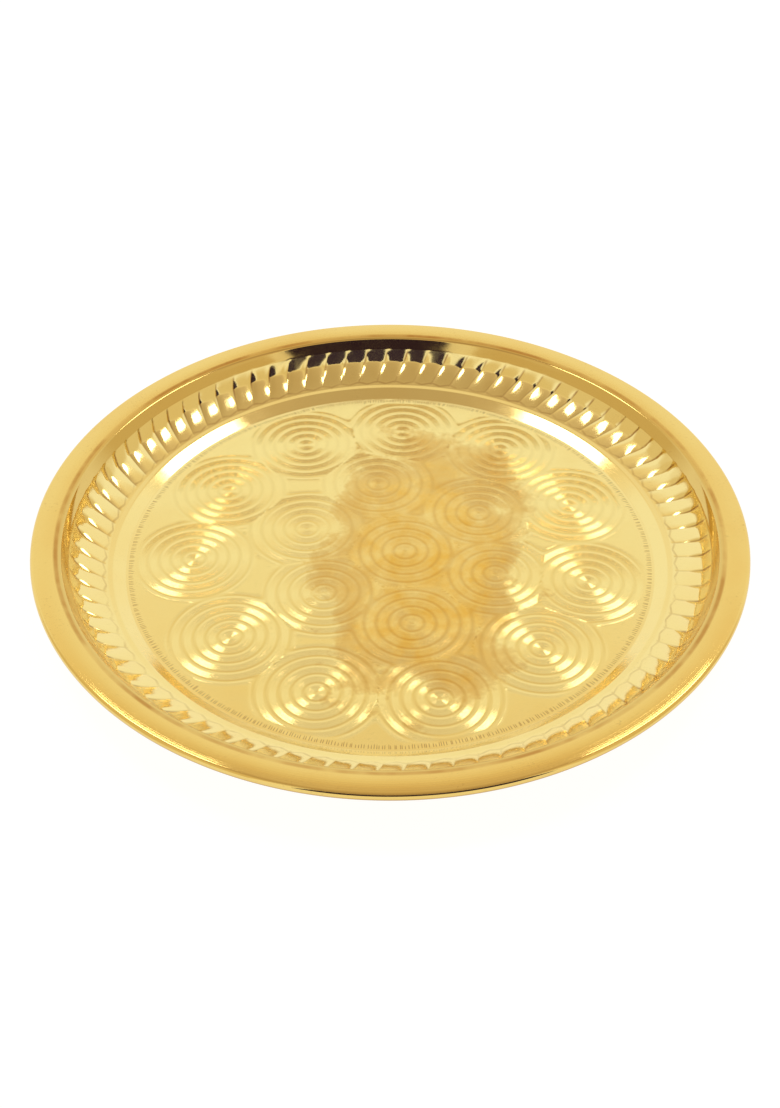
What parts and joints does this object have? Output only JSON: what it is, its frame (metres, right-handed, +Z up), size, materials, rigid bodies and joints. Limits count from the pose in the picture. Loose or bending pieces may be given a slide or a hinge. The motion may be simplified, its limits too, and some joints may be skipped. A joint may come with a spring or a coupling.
{
  "type": "thali plate",
  "caption": "Round brass serving plate with a flat floor, a slanted fluted wall, a plain flange and a rolled rim with a wire inside.",
  "frame": {"origin": "centre of the underside of the floor, which is the lowest point of the plate", "axes": "+Z up out of the open dish, along the plate's axis; -Y towards the viewer of the picture, +X to the viewer's right"},
  "size_m": [0.28, 0.28, 0.0187],
  "materials": {
    "sheet_brass": "polished sheet, satin on the floor",
    "wire_brass": "plain drawn wire"
  },
  "bodies": {
    "root": {"plate_body": "sheet_brass", "rim_wire": "wire_brass"}
  },
  "joints": []
}
